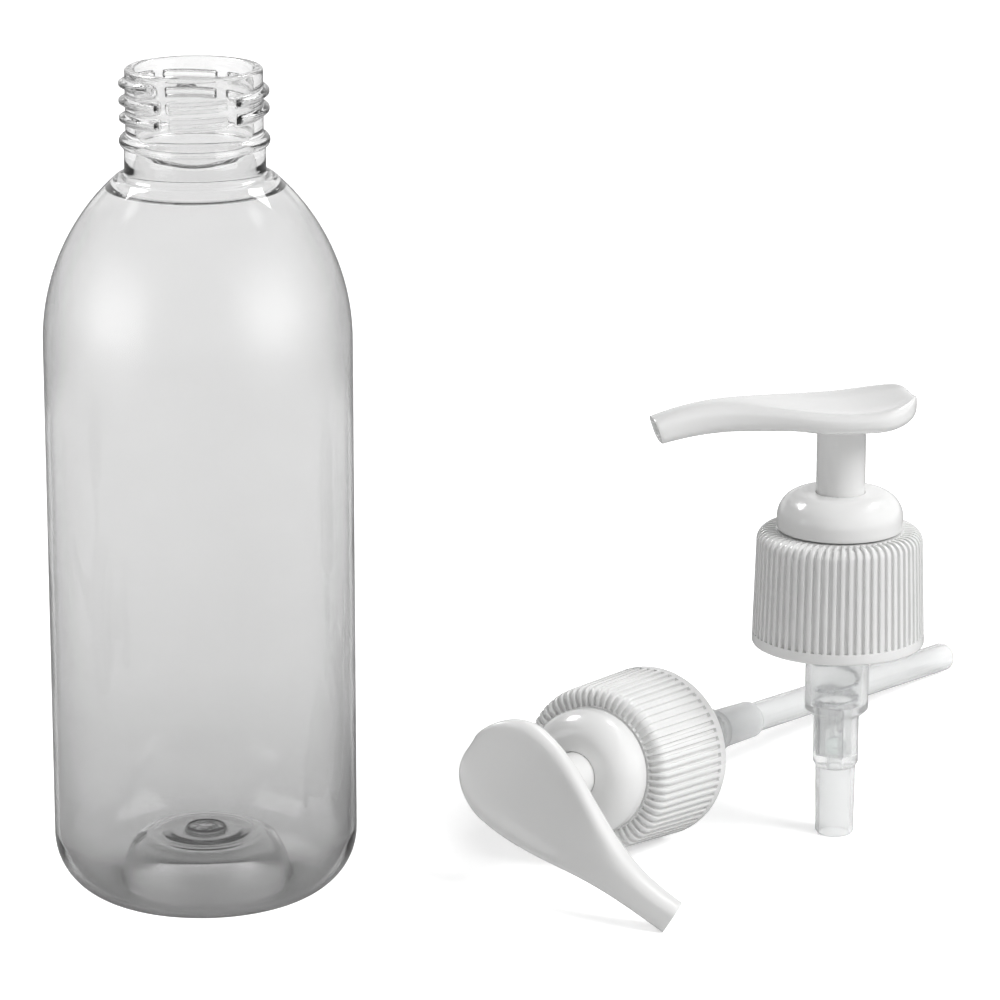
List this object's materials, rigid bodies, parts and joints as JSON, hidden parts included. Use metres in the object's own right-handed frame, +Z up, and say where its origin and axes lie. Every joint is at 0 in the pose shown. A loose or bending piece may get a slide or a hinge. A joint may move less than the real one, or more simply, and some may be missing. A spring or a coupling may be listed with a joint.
{
  "type": "bottle with lotion pumps",
  "caption": "Clear round bottle with an open threaded neck, and two ribbed lotion pumps that fit it, one standing and one lying down.",
  "frame": {"origin": "centre of the bottle's standing ring, on the floor", "axes": "+Z up along the bottle's axis, +X to the right towards the pumps, +Y to the back"},
  "size_m": [0.1823, 0.1661, 0.157],
  "materials": {
    "clear_pet": "clear blown PET with a faint grey tint",
    "white_pp": "glossy white moulded PP",
    "natural_pp": "milky natural PP",
    "tube_pe": "milky extruded PE",
    "gasket_foam": "white foamed PE",
    "soft_pe": "natural soft PE",
    "spring_steel": "drawn stainless wire",
    "valve_glass": "clear ball"
  },
  "bodies": {
    "bottle": {"bottle": "clear_pet"},
    "pump_a": {"housing_a": "natural_pp", "gasket_a": "gasket_foam", "collar_a": "white_pp", "spring_a": "spring_steel"},
    "closure_a": {"closure_a": "white_pp"},
    "piston_a": {"piston_a": "soft_pe"},
    "head_a": {"actuator_a": "white_pp", "stem_a": "white_pp", "poppet_a": "white_pp"},
    "ball_a": {"ball_a": "valve_glass"},
    "pump_b": {"housing_b": "natural_pp", "gasket_b": "gasket_foam", "collar_b": "white_pp", "spring_b": "spring_steel", "dip_tube_b": "tube_pe"},
    "closure_b": {"closure_b": "white_pp"},
    "piston_b": {"piston_b": "soft_pe"},
    "head_b": {"actuator_b": "white_pp", "stem_b": "white_pp", "poppet_b": "white_pp"},
    "ball_b": {"ball_b": "valve_glass"}
  },
  "joints": [
    {"name": "pump_a_lift", "type": "slide", "parent": "bottle", "child": "pump_a", "axis": [0, 0, 1], "range_m": [0, 0.16]},
    {"name": "closure_a_turn", "type": "hinge", "parent": "pump_a", "child": "closure_a", "pos_m": [0.121, 0.03, 0.0616], "axis": [0, 0, 1], "continuous": true},
    {"name": "piston_a_stroke", "type": "slide", "parent": "pump_a", "child": "piston_a", "axis": [0, 0, 1], "range_m": [-0.012, 0], "stiffness_N_per_m": 500, "springref_m": 0.006, "deforming": ["spring_a"]},
    {"name": "head_a_turn", "type": "hinge", "parent": "piston_a", "child": "head_a", "pos_m": [0.121, 0.03, 0.082], "axis": [0, 0, 1], "continuous": true},
    {"name": "ball_a_lift", "type": "slide", "parent": "pump_a", "child": "ball_a", "axis": [0, 0, 1], "range_m": [0, 0.0015]},
    {"name": "pump_b_draw", "type": "slide", "parent": "bottle", "child": "pump_b", "axis": [-0.5299, -0.848, 0], "range_m": [0, 0.15]},
    {"name": "closure_b_turn", "type": "hinge", "parent": "pump_b", "child": "closure_b", "pos_m": [0.07338, 0.01141, 0.01893], "axis": [-0.5268, -0.8431, 0.108], "continuous": true},
    {"name": "piston_b_stroke", "type": "slide", "parent": "pump_b", "child": "piston_b", "axis": [-0.5268, -0.8431, 0.108], "range_m": [-0.012, 0], "stiffness_N_per_m": 500, "springref_m": 0.006, "deforming": ["spring_b"]},
    {"name": "head_b_turn", "type": "hinge", "parent": "piston_b", "child": "head_b", "pos_m": [0.06264, -0.00579, 0.02114], "axis": [-0.5268, -0.8431, 0.108], "continuous": true},
    {"name": "ball_b_lift", "type": "slide", "parent": "pump_b", "child": "ball_b", "axis": [-0.5268, -0.8431, 0.108], "range_m": [0, 0.0015]}
  ]
}
